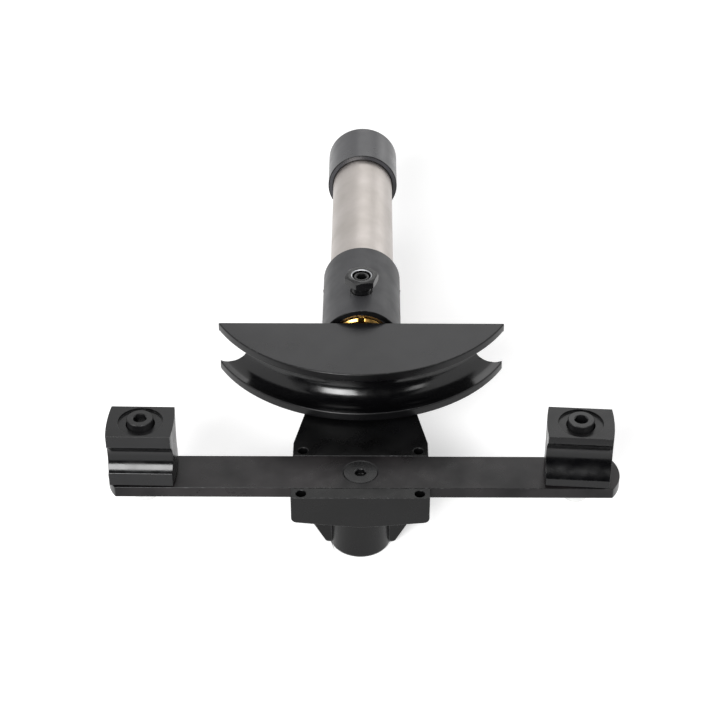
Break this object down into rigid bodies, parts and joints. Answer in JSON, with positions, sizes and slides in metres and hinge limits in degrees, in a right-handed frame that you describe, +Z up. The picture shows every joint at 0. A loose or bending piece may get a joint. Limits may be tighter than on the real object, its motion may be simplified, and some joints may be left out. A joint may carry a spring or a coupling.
{
  "type": "hydraulic pipe bender",
  "caption": "Hydraulic pipe bender head: a spring-return ram pushes a grooved segment former between two turning counter dies on a flat crossbar.",
  "frame": {"origin": "centre of the mouth of the stand socket, on the foot of the post under the head block, straight below the crossbar's centre screw", "axes": "+X along the crossbar, +Y from the crossbar towards the hydraulic cylinder, +Z up out of the crossbar's top face"},
  "size_m": [0.253, 0.3072, 0.09],
  "materials": {
    "frame_black": "satin",
    "bar_black": "satin",
    "die_black": "satin",
    "former_black": "satin",
    "cap_black": "satin",
    "screw_black": "satin",
    "barrel_steel": "satin",
    "plain_steel": "satin",
    "zinc": "satin",
    "rod_chrome": "polished",
    "gland_brass": "satin",
    "bronze": "satin",
    "rubber": "matte",
    "seal_plastic": "satin",
    "guide_plastic": "matte"
  },
  "bodies": {
    "frame": {"frame": "frame_black", "crossbar": "bar_black", "crossbar_screw": "screw_black", "pivot_screws": "screw_black", "pivot_bushes": "bronze", "thrust_washers": "plain_steel", "pivot_nuts": "zinc", "barrel": "barrel_steel", "end_cap": "cap_black", "end_cap_ring": "rubber", "gland": "gland_brass", "rod_wiper": "rubber", "rod_seal": "seal_plastic", "gland_ring": "rubber", "return_spring": "plain_steel", "lock_screw": "screw_black", "lock_nut": "screw_black"},
    "ram": {"ram_rod": "rod_chrome", "nose_ring": "rubber", "piston": "plain_steel", "piston_guide_ring": "guide_plastic", "piston_seal": "seal_plastic", "piston_nut": "plain_steel"},
    "former": {"former": "former_black"},
    "left_die": {"left_die": "die_black"},
    "right_die": {"right_die": "die_black"}
  },
  "joints": [
    {"name": "ram_extend", "type": "slide", "parent": "frame", "child": "ram", "axis": [0, -1, 0], "range_m": [0, 0.095], "stiffness_N_per_m": 3000, "springref_m": -0.01, "deforming": ["return_spring"]},
    {"name": "former_pull_off", "type": "slide", "parent": "ram", "child": "former", "axis": [0, -1, 0], "range_m": [0, 0.03]},
    {"name": "left_die_swivel", "type": "hinge", "parent": "frame", "child": "left_die", "pos_m": [-0.107, 0, 0.0435], "axis": [0, 0, 1], "continuous": true},
    {"name": "right_die_swivel", "type": "hinge", "parent": "frame", "child": "right_die", "pos_m": [0.107, 0, 0.0435], "axis": [0, 0, 1], "continuous": true}
  ]
}
